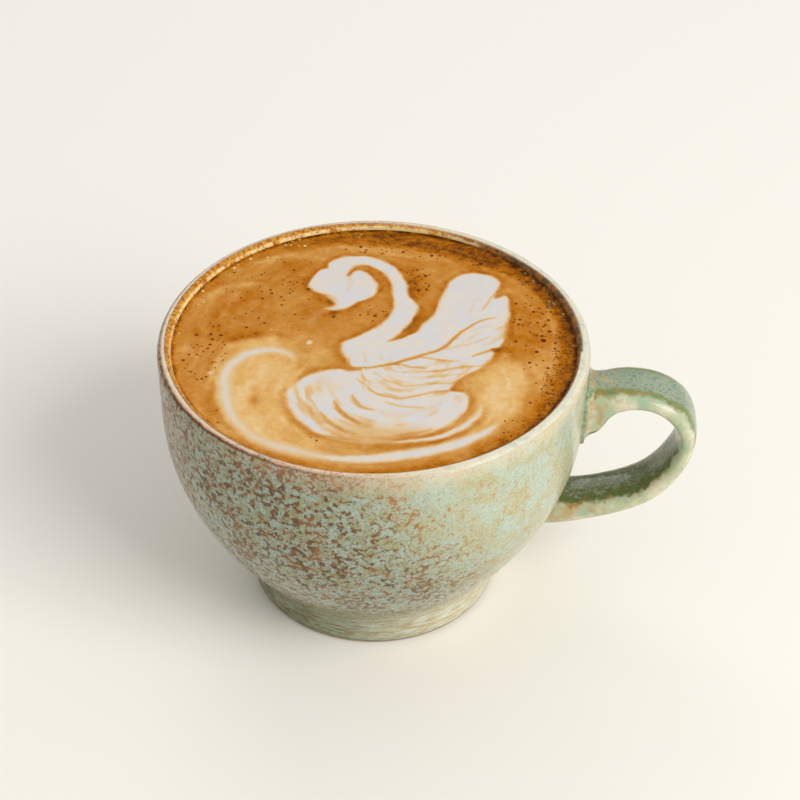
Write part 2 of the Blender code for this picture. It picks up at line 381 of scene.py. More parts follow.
def cover_with(shader, colour, relief, strength):
    """Give the shader a colour, and a relief through a bump of this strength."""
    bump = wire("ShaderNodeBump", {"Height": relief, "Strength": strength, "Distance": bump_depth * MM})
    feed(shader, "Base Color", colour)
    feed(shader, "Normal", bump.outputs[0])


def make_glaze():
    """Layers of colour over one another, each laid on by clouds, by specks or by the place on the cup."""
    made, tree, shader = new_finish("celadon_glaze", 0.22)
    place = in_millimetres(tree)
    level = in_millimetres(tree, (4, 4, 0.5))
    across, _, up = wire("ShaderNodeSeparateXYZ", {0: place}).outputs
    across = sums("SUBTRACT", across, axis_x)
    warped = {0: noise(place, 0.5, 2, 0.5, 1), 1: (1.4, 1.4, 1.4), 2: place}
    warped = wire("ShaderNodeVectorMath", warped, operation="MULTIPLY_ADD").outputs[0]

    # Celadon with sea-green islands, tan at the far left, and lakes of mint in pale green to the right.
    # The darker left and paler right are partly the glaze, partly painted shade on the left and painted
    # light on the lit right
    raised = sums("MAXIMUM", sums("SUBTRACT", up, 44), -12)
    pale = between(scaled(raised, 0.6, across), densest_at, palest_at)
    islands = between(clouds(warped, 2.4), 0.42, 0.58)
    left = blended(islands, celadon, sea_green)
    left = blended(between(across, -36, -53), left, clay_tan, 0.6)
    lakes = between(clouds(warped, 6.5, 4), 0.44, 0.6)
    right = blended(sums("MAXIMUM", lakes, times(islands, 0.6)), pale_green, mint)
    low = between(up, 28, 12)
    base = blended(low, blended(pale, left, right), khaki, 0.5)

    # Brown specks and their web, thinning out and turning tan towards the handle, fewer low down; the
    # paler tan on the lit right is partly painted light
    cover = scaled(pale, -0.35, 0.56)
    big, web = specked(warped, speck_size, cover)
    small, hair = specked(place, small_speck_size, scaled(cover, 0.7, 0.05))
    body = blended(between(clouds(place, 3), 0.44, 0.62), dark_brown, brown)
    left_web = times(web, scaled(pale, -0.3, 0.6))
    right_web = times(hair, times(pale, scaled(lakes, -0.4, 0.65)))
    less_low = scaled(low, -0.35, 1)
    colour = blended(left_web, base, brown)
    colour = blended(right_web, colour, tan)
    colour = blended(times(small, less_low), colour, blended(pale, olive_brown, tan), 0.5)
    colour = blended(times(big, less_low), colour, blended(pale, body, tan), 0.88)

    # Level streaks on the foot and in the hollow above it, paler on the lit right and darker on the left,
    # partly the glaze and partly painted light and painted shade, and a dark last line
    streaks = between(clouds(level, 1.3, 6, 0.74), 0.39, 0.61)
    lit = between(across, -16, 26)
    light = blended(lit, srgb(150, 168, 138), srgb(230, 240, 226))
    shade = blended(lit, srgb(104, 78, 38), srgb(206, 182, 136))
    foot = between(up, 20, 9)
    colour = blended(foot, colour, blended(streaks, light, shade), 0.78)
    colour = blended(between(up, 2.2, 0.9), colour, foot_line, 0.7)

    # Lip: a blush under it, a brown line on the left where the cream starts, then cream and white with
    # a mint tinge and freckles, and with more shine than the wall. The whiter, wider band on the right is
    # partly the glaze and partly a painted highlight
    patchy = swings(place, 2.4)
    near = scaled(patchy, 9, up)
    warm = times(between(near, 67.5, 73.5), between(across, -52, 20))
    colour = blended(warm, colour, blended(pale, blush, cream), 0.5)
    right_side = between(across, -4, 40)
    reached = scaled(patchy, 0.25, value_of(tree, "thin"))
    reached = scaled(right_side, 0.16, reached)
    edge = times(between(reached, 0.6, 0.8), hump(across, -53, -42, -34, 8))
    colour = blended(edge, colour, lip_line, 0.92)
    rosy = times(between(patchy, -0.06, 0.14), scaled(pale, -0.4, 0.55))
    rim = blended(rosy, blended(right_side, cream, lip_white_and_highlight), blush)
    tinged = times(between(patchy, -0.02, 0.16), right_side)
    rim = blended(tinged, rim, mint, 0.5)
    freckled = times(small, hump(across, -50, -20, 0, 30))
    lip = between(reached, 0.82, 0.97)
    colour = blended(lip, colour, blended(freckled, rim, tan))
    feed(shader, "Coat Weight", scaled(lip, 0.4, coat_weight))

    # Inside the lip: wet crema, gold with pale flecks at the left, which are partly foam and partly
    # painted glints, dull brown with grey-green flecks at the right, which are painted reflections in
    # bubbles, and a pale band at the back, partly dried foam and partly a painted highlight
    inner = value_of(tree, "inner")
    golden = between(scaled(patchy, 30, across), 30, 10)
    flecks = specked(place, 0.8, 0.95)[0]
    wet = blended(between(clouds(place, 1.1, 5, 0.65), 0.4, 0.6), stain, gold)
    foam_and_glint = times(flecks, between(clouds(place, 3.2, 4, 0.65), 0.36, 0.56))
    foam_and_glint = times(foam_and_glint, hump(up, 72.2, 72.7, 73.1, 73.6))
    wet = blended(foam_and_glint, wet, pale_fleck_and_glint, 0.9)
    dull = blended(between(clouds(place, 1.8, 4), 0.42, 0.6), wet_brown, stain)
    # Grey-green flecks on the dull brown: painted reflections of small bubbles
    dull = blended(flecks, dull, bubble_glint_fleck, 0.4)
    wet = blended(golden, dull, wet)
    wet = blended(value_of(tree, "wet"), wet, dried_foam_and_highlight)
    colour = blended(inner, colour, wet)

    # The foot's lower edge is bare, rough clay; specks, flecks and streaks are in the relief as well
    bare = value_of(tree, "bare")
    feed(shader, "Roughness", scaled(bare, 0.5, scaled(big, 0.14, 0.2)))
    relief = scaled(big, -0.4, times(clouds(warped, 1.4), 0.6))
    relief = scaled(times(flecks, inner), 2, relief)
    relief = scaled(times(streaks, foot), -0.6, relief)
    cover_with(shader, blended(bare, colour, bare_clay), relief, 0.3)
    return made


cup_body = make_body()
cup_body.data.materials.append(make_glaze())
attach(cup_body, "root")
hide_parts("cup")

# Handle
# A pulled strap of the same clay, pressed on at the wall under the lip and again low on the bowl, with
# the joins smoothed out by a finger. It is lofted along its side view through rounded sections. Its
# glaze is sea green on the broad faces, olive and rust where it thins, and pale on the narrow sides.
# A station is the outer and the finger-side point of one section: distance from the axis, and height.
handle_stations = (
    ((50.7, 65), (50.7, 48.6)),
    ((53.6, 65.7), (53.4, 50)),
    ((56.6, 66), (56.4, 51.9)),
    ((59.2, 66.2), (58.6, 56.4)),
    ((62.6, 66.3), (62, 59.7)),
    ((69.4, 65.4), (68, 60.5)),
    ((77.6, 60.6), (73.4, 57.1)),
    ((80.8, 50.2), (76, 50.4)),
    ((76.7, 38), (72.1, 40.8)),
    ((68.6, 29.5), (65.4, 34.3)),
    ((56.6, 23.9), (54.6, 30.2)),
    ((46.4, 20.8), (47.2, 29.8)),
    ((39.7, 20.9), (44.2, 30.4)),
)
handle_widths = (13.5, 14.8, 13.8)
handle_squareness = 2.6
handle_rows = 220
handle_sides = 72
join_fillet = 1.8
sea_grey = srgb(124, 144, 122)
sea_mint = srgb(190, 202, 178)
fleck_olive = srgb(112, 108, 70)
root_tan = srgb(186, 156, 102)
# The finger side's colours are darker partly from the glaze and partly as painted shade
finger_dark = srgb(98, 100, 70)
finger_grey = srgb(136, 142, 112)
finger_green = srgb(94, 106, 54)
rust = srgb(184, 130, 66)
side_cream = srgb(222, 218, 192)
side_green = srgb(188, 198, 160)
side_mint = srgb(162, 188, 158)
side_tan = srgb(190, 148, 92)


def smooth_through(points, samples):
    """A natural cubic spline through the points, which keeps slope and curvature even: the second
    derivatives m solve m0 + 4 m1 + m2 = 6 (p0 - 2 p1 + p2) at each inner point."""
    points = np.asarray(points, float)
    count = len(points)
    system = np.eye(count)
    bend = np.zeros_like(points)
    inner = np.arange(1, count - 1)
    system[inner, inner] = 4
    system[inner, inner - 1] = 1
    system[inner, inner + 1] = 1
    bend[1:-1] = 6 * (points[:-2] - 2 * points[1:-1] + points[2:])
    second = np.linalg.solve(system, bend)
    at = np.linspace(0, count - 1, samples)
    piece = np.minimum(at.astype(int), count - 2)
    t = (at - piece)[:, None]
    start, end = points[piece], points[piece + 1]
    m0, m1 = second[piece], second[piece + 1]
    return start * (1 - t) + end * t + ((1 - t) ** 3 - (1 - t)) * m0 / 6 + (t ** 3 - t) * m1 / 6


def make_handle():
    """Each section is a superellipse from its outer point to its finger-side point. Near the wall it
    grows by r - sqrt(r^2 - (r - d)^2), d being its distance from the wall, which makes a round fillet."""
    outer, inner = (smooth_through([pair[i] for pair in handle_stations], handle_rows) for i in (0, 1))
    middle = (outer + inner) / 2
    half = (outer - inner) / 2
    width = np.interp(np.linspace(0, 1, handle_rows), (0, 0.5, 1), handle_widths) / 2
    off_wall = np.clip((middle[:, 0] - outer_radius(middle[:, 1])) * 0.85, 0, join_fillet)
    grow = join_fillet - np.sqrt(join_fillet ** 2 - (join_fillet - off_wall) ** 2)
    half = half * (1 + grow / np.linalg.norm(half, axis=1))[:, None]
    width = width + grow
    angle = np.arange(handle_sides) * 2 * math.pi / handle_sides
    power = 2 / handle_squareness
    across = np.sign(np.cos(angle)) * np.abs(np.cos(angle)) ** power
    sideways = np.sign(np.sin(angle)) * np.abs(np.sin(angle)) ** power
    x = middle[:, :1] + half[:, :1] * across
    z = middle[:, 1:] + half[:, 1:] * across
    grid = np.stack([axis_x + x, width[:, None] * sideways, z], -1).reshape(-1, 3)
    points = np.vstack([grid, [[axis_x + middle[end, 0], 0, middle[end, 1]] for end in (0, -1)]])
    every_row = np.ones((handle_rows, 1))
    attributes = {
        "side": every_row * np.abs(sideways),
        "finger": every_row * soft_step(0.1, -0.3, across),
        "pool": soft_step(0.1, 1, grow[:, None] / join_fillet * np.ones(handle_sides)),
    }
    return new_piece("cup_handle", points, *tube_faces(handle_rows, handle_sides), attributes)


def make_handle_glaze():
    """Colour by which face of the strap a place is on, each edge of it moved in and out by clouds."""
    made, tree, shader = new_finish("handle_glaze", 0.2, coat=0.45)
    place = in_millimetres(tree)
    across = wire("ShaderNodeSeparateXYZ", {0: place}).outputs[0]
    near_root = between(sums("SUBTRACT", across, axis_x), 64, 52)
    flecks, tan_threads = specked(place, 0.9, 0.6)
    mottled = between(clouds(place, 0.9, 4, 0.65), 0.42, 0.6)
    patchy = swings(place, 2.6, 4)
    wandering = swings(place, 8, 2)

    # Broad faces: sea green outside with tan near the root, darker grey and olive on the finger side,
    # partly the glaze and partly painted shade, as that face turns away from the light
    outer = blended(mottled, sea_grey, sea_mint)
    outer = blended(flecks, outer, fleck_olive, 0.5)
    tanned = between(scaled(near_root, 0.2, patchy), 0.1, 0.2)
    outer = blended(tanned, outer, root_tan, 0.7)
    inner = blended(mottled, finger_dark, finger_grey)
    inner = blended(between(patchy, -0.02, 0.12), inner, finger_green)
    finger = value_of(tree, "finger")
    colour = blended(finger, outer, inner)

    # Towards the narrow sides: an olive line of uneven width, broken by rust, then pale green-cream
    side = scaled(patchy, 0.55, value_of(tree, "side"))
    side = scaled(wandering, 0.35, side)
    # The olive line is darker on the finger side: partly painted shade
    olive = blended(finger, srgb(118, 132, 70), srgb(88, 104, 48))
    colour = blended(between(side, 0.46, 0.66), colour, olive, 0.8)
    broken = between(clouds(place, 2.4, 4), 0.48, 0.6)
    rusty = times(between(side, 0.58, 0.74), broken)
    colour = blended(rusty, colour, rust, 0.7)
    pale = blended(between(clouds(place, 5), 0.35, 0.65), side_green, side_cream)
    pale = blended(between(wandering, -0.04, 0.2), pale, side_mint)
    pale = blended(tan_threads, pale, tan, 0.3)
    worn = scaled(near_root, 0.22, times(patchy, -1))
    pale = blended(between(worn, 0.06, 0.34), pale, side_tan, 0.7)
    colour = blended(between(side, 0.7, 0.9), colour, pale)

    # Blue-green pooled glaze in the corners where the handle joins
    pool = between(scaled(patchy, 1.2, value_of(tree, "pool")), 0.1, 0.8)
    pooled = blended(mottled, srgb(110, 132, 100), srgb(160, 186, 164))
    colour = blended(pool, colour, pooled, 0.75)
    cover_with(shader, colour, clouds(place, 1.4), 0.2)
    return made


cup_handle = make_handle()
cup_handle.data.materials.append(make_handle_glaze())
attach(cup_handle, "root")
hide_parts("cup")

# Drink
# Espresso crema with milk foam floated into it as a swan. The surface is a disc of even small cells,
# each point of which knows how much milk and how dark a crema lies there; below it the drink fills the
# cavity and reaches 0.2 mm into the wall, so that no gap shows.
cells = 286
into_wall = 0.2
meniscus = 0.35
meniscus_width = 0.7
below_level = 0.08
milk_rise = 0.05
buried_levels = (70, 56, 42, 30, 21, 14, 10.2)


def disc_grid(radius):
    """Square grid points a, b from -1 to 1 moved to a disc ring by ring: the larger of the two is the
    radius, and the smaller one's share of it turns by up to an eighth of a circle."""
    a, b = np.meshgrid(np.linspace(-1, 1, cells + 1), np.linspace(-1, 1, cells + 1))
    wide = np.abs(a) > np.abs(b)
    larger = np.where(wide, a, b)
    smaller = np.where(wide, b, a)
    share = np.divide(smaller, larger, out=np.zeros_like(larger), where=larger != 0)
    turn = np.where(wide, share * math.pi / 4, math.pi / 2 - share * math.pi / 4)
    return radius * larger * np.cos(turn), radius * larger * np.sin(turn)


def drift(x, y, size, seed):
    """Smooth noise from -1 to 1: random heights on a square lattice of that size, blended between the
    four corners of each square by 3t^2 - 2t^3."""
    heights = np.random.default_rng(seed).uniform(-1, 1, (64, 64))
    column, row = np.floor(x / size).astype(int), np.floor(y / size).astype(int)
    s = soft_step(0, 1, x / size - column)
    t = soft_step(0, 1, y / size - row)
    across, over, up = column % 64, (column + 1) % 64, (row + 1) % 64
    row = row % 64
    low = heights[row, across] * (1 - s) + heights[row, over] * s
    high = heights[up, across] * (1 - s) + heights[up, over] * s
    return low * (1 - t) + high * t


def curve_through(points, steps, closed):
    """Points on a Catmull-Rom curve: on each stretch a cubic whose slope at a point is half the step
    from its neighbour before to its neighbour after."""
    points = np.array(points, float)
    if closed:
        padded = np.vstack([points[-1:], points, points[:2]])
    else:
        padded = np.vstack([2 * points[0] - points[1], points, 2 * points[-1] - points[-2]])
    before, start, end, after = padded[:-3], padded[1:-2], padded[2:-1], padded[3:]
    t = np.arange(steps)[:, None, None] / steps
    curve = (start + (end - before) * t / 2 + (2 * before - 5 * start + 4 * end - after) * t ** 2 / 2
             + (3 * start - before - 3 * end + after) * t ** 3 / 2)
    curve = curve.transpose(1, 0, 2).reshape(-1, points.shape[1])
    return np.vstack([curve, points[:1] if closed else points[-1:]])


def to_line(x, y, line):
    """Distance from each point to a line of short straight steps, and how far along it, 0 to 1, the
    nearest place is."""
    nearest = np.full(x.shape, np.inf)
    along = np.zeros(x.shape)
    for step in range(len(line) - 1):
        start = line[step]
        run = line[step + 1] - start
        t = np.clip(((x - start[0]) * run[0] + (y - start[1]) * run[1]) / (run @ run), 0, 1)
        gap = np.hypot(x - start[0] - t * run[0], y - start[1] - t * run[1])
        nearer = gap < nearest
        nearest[nearer] = gap[nearer]
        along[nearer] = ((step + t) / (len(line) - 1))[nearer]
    return nearest, along


def depth_inside(x, y, outline):
    """Distance to a closed outline, positive inside it. A point is inside if a level ray from it
    crosses the outline an odd number of times."""
    within = np.zeros(x.shape, bool)
    for (x0, y0), (x1, y1) in zip(outline[:-1], outline[1:]):
        if y0 != y1:
            within ^= ((y0 > y) != (y1 > y)) & (x < (x1 - x0) * (y - y0) / (y1 - y0) + x0)
    return np.where(within, 1, -1) * to_line(x, y, outline)[0]


def band(x, y, points, half_width, softness, taper=0.35):
    """Strength of a brush line, 0 to 1: full within its half width, which thins towards both ends."""
    gap, along = to_line(x, y, curve_through(points, 6, False))
    width = half_width * (4 * along * (1 - along) + 0.02) ** taper
    return soft_step(width + softness, width - softness, gap)


# The milk's outline, the whole swan in one closed line: x and y from the cup's axis
swan = (
    (-19.2, 22.6), (-18.1, 27.6), (-16.7, 29.8), (-15.3, 31), (-15.2, 33.2), (-12.2, 36), (-7.8, 37.1),
    (-3.3, 36.4), (0.2, 34.4), (3.2, 31.1), (5.8, 25.7), (6.6, 20.6), (9.3, 16.1), (8.2, 10), (5.9, 4.8),
    (3.5, 1.3), (8.7, 4.3), (11.7, 9.8), (14.1, 13.9), (15, 21.8), (16.9, 28.3), (21.1, 32.1), (26.3, 31.9),
    (29.3, 28.6), (28.5, 21.9), (31.3, 23.1), (32.4, 16), (31.8, 5.6), (30.4, 1.5), (28.6, 0.6), (29.4, -1.7),
    (26.4, -7.2), (21.9, -11.7), (19.7, -16.3), (23.5, -17.6), (24.4, -22), (22.2, -28), (17.8, -32.4),
    (11, -35.4), (2.1, -37.4), (-7.5, -36.3), (-14.3, -31.8), (-18.1, -24.8), (-17.9, -19.3), (-14.2, -14.6),
    (-9, -11.4), (-4.4, -11.9), (-2.2, -10.7), (-4.8, -9.6), (-7.9, -1.5), (-2.7, 4), (2.3, 10.1),
    (3, 17.8), (1.6, 26.3), (-0.6, 29.8), (-2.9, 32), (-5.6, 33.2), (-7.9, 32.7), (-9.2, 31),
    (-10, 28), (-9.3, 27.6), (-8.4, 29.5), (-6.7, 30.5), (-5, 29.7), (-3.2, 27.7), (-1.9, 25),
    (-1.7, 22), (-2.3, 19.4), (-4, 17.8), (-6.1, 16.6), (-7.8, 14.4), (-9.6, 13.1), (-11.1, 12.8),
    (-13.7, 13), (-11.6, 14.4), (-11.4, 15.8), (-13.4, 18.1), (-15.7, 19.2), (-17.9, 20.6),
)
# Crema lines drawn into the milk: points, half width, strength
veins = (
    (((-4.6, -10.4), (0.6, -9.7), (4.9, -7.9), (8.9, -5.7), (12.9, -3.2), (16.4, -0.6), (19.3, 3.4),
      (21.8, 7.5), (24.8, 11.3), (29.1, 13.8)), 0.55, 1),
    (((8.3, -5.7), (12.5, -4.6), (16.9, -5.2), (21.3, -5.2)), 0.4, 0.75),
    (((3.5, -8.3), (6.7, -7.6), (9.9, -8.5), (13.5, -9.1)), 0.42, 0.8),
    (((15.9, -1.2), (20.2, 0.6), (24.2, 2.6), (28.4, 6.2)), 0.55, 0.45),
    (((20.2, 5.1), (23, 6.7), (26.2, 9.3), (29.4, 10.5)), 0.5, 0.25),
    (((22, 13), (22.8, 17.1), (23.9, 21.7)), 0.5, 0.25),
    (((25.5, 16.2), (26.7, 19.3), (28.5, 23.9)), 0.5, 0.6),
    (((31.6, 1.1), (29, 0.5), (26.6, -1.1), (24.4, -2.9)), 0.6, 0.8),
    (((27.2, -6.2), (23.9, -6.7), (20.7, -7.8), (16.9, -9.4), (12.7, -10.4), (7.9, -10.9)), 0.5, 0.65),
    (((23.3, -9.6), (18.9, -11), (14.9, -12.2), (9.9, -12.8)), 0.5, 0.4),
    (((22.5, -12.3), (18.3, -14.1), (13.9, -15.3), (9, -15.8), (5.4, -15), (3.4, -13.6)), 0.5, 0.6),
    (((20.3, -16.5), (16.3, -17.7), (12, -19.5), (8, -20.8), (4, -20.4), (1.2, -18.8), (0.2, -16.8)),
     0.5, 0.75),
    (((14.2, -23.8), (11.6, -24.1), (8, -23.8), (4.6, -22.7)), 0.55, 0.6),
    (((-3.2, -20.8), (-2.2, -22.7), (-0.4, -24.9), (2.4, -26)), 0.75, 0.7),
    (((-7.1, -23.5), (-5.5, -26.5), (-3.5, -29), (-0.3, -31.2)), 0.85, 0.95),
    (((-9.5, -27.9), (-7.1, -31.4), (-4.1, -33.7), (-0.5, -35.1)), 0.6, 0.8),
    (((-12.7, -26.3), (-11.5, -28.9)), 0.5, 0.45),
    (((-13.9, -20.6), (-13.3, -25.5), (-10.5, -31), (-5.5, -35.1)), 0.5, 0.3),
    (((23.1, -25.5), (20.6, -29.4), (15.6, -33.4), (8, -35.6), (-1.9, -36.1)), 0.45, 0.45),
    (((-2.4, -10.9), (-1, -14.9), (-0.6, -19)), 0.5, 0.35),
    (((-9.6, 30), (-9.4, 27.2), (-9, 24.6), (-9.2, 21.4)), 1.1, 0.28),
    (((-14.8, 18.8), (-12.6, 18.6), (-11, 16.8)), 0.5, 0.5),
    (((25.5, -19.6), (25.1, -24.3), (22.4, -29.2), (16.6, -33.6), (9, -36.4)), 0.55, 0.9),
)
# White lines outside the body of the swan: points, half width, softness, strength
threads = (
    (((-18.9, -8.8), (-20.6, -6.4), (-23.3, -5.4), (-26.7, -5.9), (-30.6, -8.1), (-33.1, -12),
      (-34, -17), (-33.5, -22), (-31.9, -27), (-29.7, -32), (-26.1, -36.4), (-21.7, -39.8)), 1.85, 1.7, 0.88),
    (((-31.4, -28.6), (-26.1, -36.4), (-21.7, -39.8), (-16.7, -41.7), (-11.1, -43), (-5.6, -43.8),
      (0, -44.1)), 2, 1.7, 0.74),
    (((-12, -42.8), (-4, -44), (2.8, -43.5), (8.3, -42.2), (13.9, -40.4), (19.4, -38), (25, -34.6),
      (28.9, -31.2), (31.9, -28)), 1.8, 1.1, 0.98),
    (((27.3, -20.8), (27.1, -24.4), (25.8, -27.6), (23.9, -30.2), (19.4, -33.6), (13.9, -35.8), (8.3, -36.9)),
     0.8, 0.6, 0.95),
    (((16, -35.2), (8.3, -36.9), (0, -37.7), (-7, -37)), 0.8, 1, 0.5),
    (((-10, -39.6), (0, -41.4), (8, -40.8), (17, -37.6), (25, -32.4)), 0.7, 0.9, 0.28),
    (((-21.4, -9.2), (-22.8, -13), (-23.8, -17.5), (-24, -21)), 1, 1.4, 0.34),
    (((-17.8, -8.1), (-19.5, -11.3), (-20.3, -15.4)), 1, 1.2, 0.25),
    (((-38.2, -15.6), (-37.6, -16.6)), 1, 0.7, 0.7),
    (((-16.2, -1), (-15.9, -2)), 0.8, 0.5, 0.8),
    (((-16.9, 5.8), (-15.8, 8.8), (-14.9, 11.4), (-13.1, 13)), 1.3, 1.4, 0.3),
)
# Darker and paler places in the crema: x, y, half length, half width, tilt in degrees, darkening
blots = (
    (-26.4, -19.5, 17, 9, 82, -0.34),
    (-17, -37, 13, 5, -28, -0.16),
    (33, -13, 12, 6.5, 84, -0.3),
    (27, -27, 9, 4.5, 55, -0.12),
    (-24.9, -24.3, 6, 1.8, 75, 0.14),
    (0.1, -39.3, 20, 1.8, 0, -0.08),
    (-35.9, 0.2, 8, 1.8, 12, 0.08),
    (-32.9, -1.2, 3, 1, 20, 0.12),
    (-38.8, -18.4, 14, 2.8, -76, 0.08),
    (-35.8, -28.8, 7, 2.2, -55, 0.08),
    (34.5, -2, 3.5, 2.2, 10, 0.14),
    (40, 5, 7, 4, 20, 0.08),
    (7.8, 27, 6.5, 2.2, -75, 0.2),
    (9, 9.4, 6.5, 1.3, 65, 0.12),
    (-13.7, 16.3, 2.4, 1.5, -15, 0.15),
    (-11.1, 11, 5, 1.6, 10, 0.14),
    (30.8, 0.1, 3.2, 1.4, 10, 0.26),
    (-24.1, 28.8, 9, 5, 10, 0.05),
    (-25, 11.1, 14, 9, 10, 0.05),
    (-37, 6, 11, 8, 60, 0.05),
    (19.7, 35, 12, 2.5, -25, 0.08),
    (37.7, 11.5, 10, 4, 90, 0.1),
    (-29.9, -3.7, 8, 1.4, 10, -0.1),
    (-12, -7, 4, 5, 0, -0.04),
    (13.3, 17.3, 9, 1.6, 80, 0.05),
    (0.6, 21.1, 9, 1.4, 80, 0.05),
)
# Streaks pulled through the crema: points, half width, darkening
streaks = (
    (((-45, 13), (-41, 17.5), (-36.5, 21), (-31, 22)), 0.9, -0.13),
    (((-46.2, 15.5), (-42, 20.5), (-36.5, 23.6), (-28, 22.6)), 0.8, 0.09),
    (((-34, 31), (-28, 34.4), (-21, 35.8), (-16, 34.4)), 1, -0.09),
    (((-36, 31.6), (-28, 36.4), (-18, 38.6), (-8, 40)), 0.9, 0.1),
    (((-27, 36), (-14, 39.4), (0, 40.2), (12, 37.8), (20, 33.6)), 1.6, -0.08),
    (((-42, 2), (-40, 9), (-35, 14), (-28, 16.5)), 1.1, 0.06),
    (((-39.5, -12), (-37.5, -5), (-33, -0.8), (-27, 1), (-21, 0)), 1.2, 0.14),
    (((-36.6, -19), (-35.8, -25), (-33.4, -31), (-28, -37.6)), 1.1, 0.2),
    (((-26.6, -19.5), (-26.2, -23.5), (-25.4, -27.5)), 1, 0.13),
    (((28.6, -23), (27.8, -27), (24.4, -31.6), (16.7, -36.3), (8, -39), (-2, -40.2)), 0.7, 0.17),
    (((36.6, -3), (38.8, -10), (39.2, -17), (37.2, -23.5), (33, -29)), 1.1, 0.13),
    (((31.5, 18), (33.6, 10), (33.2, 2)), 1.2, 0.09),
)
# Where the crema darkens towards the wall: angle in degrees, radius where it starts, how wide, darkening
shores = (
    (-180, 46.6, 1.5, 0.12), (-150, 44.6, 4, 0.12), (-120, 46.4, 1.6, 0.16), (-90, 46, 1.8, 0.2),
    (-65, 45.8, 2.2, 0.26), (-45, 44, 3, 0.34), (-25, 43, 3.4, 0.36), (-5, 43.6, 3.2, 0.36),
    (10, 45, 2.6, 0.44), (20, 45.6, 2, 0.52), (40, 45, 2, 0.5), (55, 42.6, 2, 0.38),
    (72, 41.2, 1.1, 0.28), (95, 41.4, 0.9, 0.26), (113, 43, 1, 0.23), (128, 45.6, 1.2, 0.2),
    (145, 47, 1.4, 0.16), (180, 46.6, 1.5, 0.12),
)


def swan_depth(x, y):
    """The same places after a slow drift, which keeps every line a little unsteady as poured milk is,
    and their distance to the swan's outline, positive inside."""
    x = x + 0.3 * drift(x, y, 3.1, 11) + 0.14 * drift(x, y, 1, 12)
    y = y + 0.3 * drift(x, y, 3.1, 13) + 0.14 * drift(x, y, 1, 14)
    return x, y, depth_inside(x, y, curve_through(swan, 5, True))


def folds(x, y, centre_x, centre_y, width, seed):
    """Stripes that run round a centre, -1 to 1: noise drawn out along the turn and narrow across it. Also
    each place's distance from the centre and, without sign, its turn from straight to the front."""
    away = np.hypot(x - centre_x, y - centre_y)
    turn = np.arctan2(x - centre_x, centre_y - y)
    return drift(turn * 4, away / width, 1, seed), away, np.abs(turn)


def milk_at(x, y):
    """Share of milk at each point: inside the swan's outline, less the folds of its belly, hull, tail
    and feathers and less the veins, plus the threads outside it."""
    x, y, depth = swan_depth(x, y)
    softness = 0.95 + 0.35 * drift(x, y, 4, 15)
    milk = soft_step(-softness, softness, depth)
    milk = milk * (1 - 0.5 * soft_step(-27.5, -35, y) * hill(-11, -4, 14, 25, x))
    hull, away, turn = folds(x, y, 5.5, -14, 1.15, 16)
    milk = milk * (1 - 0.46 * soft_step(8, 20, away) * soft_step(1.9, 1.2, turn) * soft_step(-0.1, 0.8, hull))
    tail, away, turn = folds(x, y, 10, -3.4, 0.8, 17)
    ring = hill(4, 7, 17, 19, away) * soft_step(1.7, 1.2, turn)
    milk = milk * (1 - 0.42 * ring * soft_step(-0.2, 0.8, tail))
    feather = drift((x + y) / 14, (y - x) / 1.6, 1, 18)
    feather = feather * soft_step(10, 14, 0.78 * x - y) * soft_step(-1, 3, y)
    milk = milk * (1 - 0.4 * soft_step(0, 0.8, feather))
    for points, half_width, strength in veins:
        milk = milk * (1 - strength * 0.9 * band(x, y, points, half_width * 0.8, 0.45 + 0.3 * half_width))
    for points, half_width, softness, strength in threads:
        milk = np.maximum(milk, strength * band(x, y, points, half_width * 0.9, softness + 0.2, 0.5))
    return milk * (0.97 + 0.05 * drift(x, y, 2.4, 19))


def darkness_at(x, y):
    """How dark the crema is, 0 pale tan to 1 nearly black: a middle tone with streaks that run round the
    cup and round the swan, an amber halo along the milk, the blots, and the darker shore at the wall."""
    angle = np.degrees(np.arctan2(y, x))
    radius = np.hypot(x, y)
    x, y, depth = swan_depth(x, y)
    wide, away, turn = folds(x, y, 0, 3, 1.7, 21)
    narrow, away, turn = folds(x, y, -2, 2, 0.7, 22)
    back = soft_step(-12, 4, y)
    dark = 0.45 + (0.06 * wide + 0.035 * narrow) * back * soft_step(14, 24, away)
    wide, away, turn = folds(x, y, 4, -18, 1.3, 23)
    dark = dark - 0.09 * soft_step(0, 0.8, wide) * soft_step(16, 21, away) * (1 - back)
    dark = dark + 0.05 * drift(x, y, 6, 24) + 0.045 * drift(x, y, 2.3, 25) + 0.04 * drift(x, y, 0.9, 26)
    dark = dark + hill(-2.4, -0.8, -0.6, 0.8, depth) * (0.1 + 0.06 * drift(x, y, 2, 27))
    for centre_x, centre_y, length, width, tilt, amount in blots:
        c, s = math.cos(math.radians(tilt)), math.sin(math.radians(tilt))
        u = ((x - centre_x) * c + (y - centre_y) * s) / length
        v = ((y - centre_y) * c - (x - centre_x) * s) / width
        rough = 0.45 if amount > 0 else 0.08
        dark = dark + amount * np.exp(-(u * u + v * v) * 0.8) * (1 + rough * drift(x, y, 1.3, 28))
    for points, half_width, amount in streaks:
        dark = dark + amount * band(x, y, points, half_width, 1.2, 0.6)
    shore = np.array(shores)
    start, wide, amount = (np.interp(angle, shore[:, 0], shore[:, i]) for i in (1, 2, 3))
    start = start + 0.5 * drift(x, y, 2.6, 29) + 0.3 * drift(x, y, 0.8, 31)
    amount = amount * (1 + 0.4 * drift(x / 2, y, 0.7, 30))
    reach = (radius - start) / wide
    dark = dark + amount * (0.6 * soft_step(0, 1, reach) + 0.4 * soft_step(1, 2.4, reach))
    touching = soft_step(1.1, 0.3, wall_inside - radius) * (0.2 + 0.12 * drift(x, y, 1.1, 33))
    return np.clip(dark + touching, 0, 1)


def climb_at(radius):
    """How far the drink climbs towards the wall: meniscus times e^(-distance from the wall / its width)."""
    return meniscus * np.exp(-np.maximum(wall_inside - radius, 0) / meniscus_width)


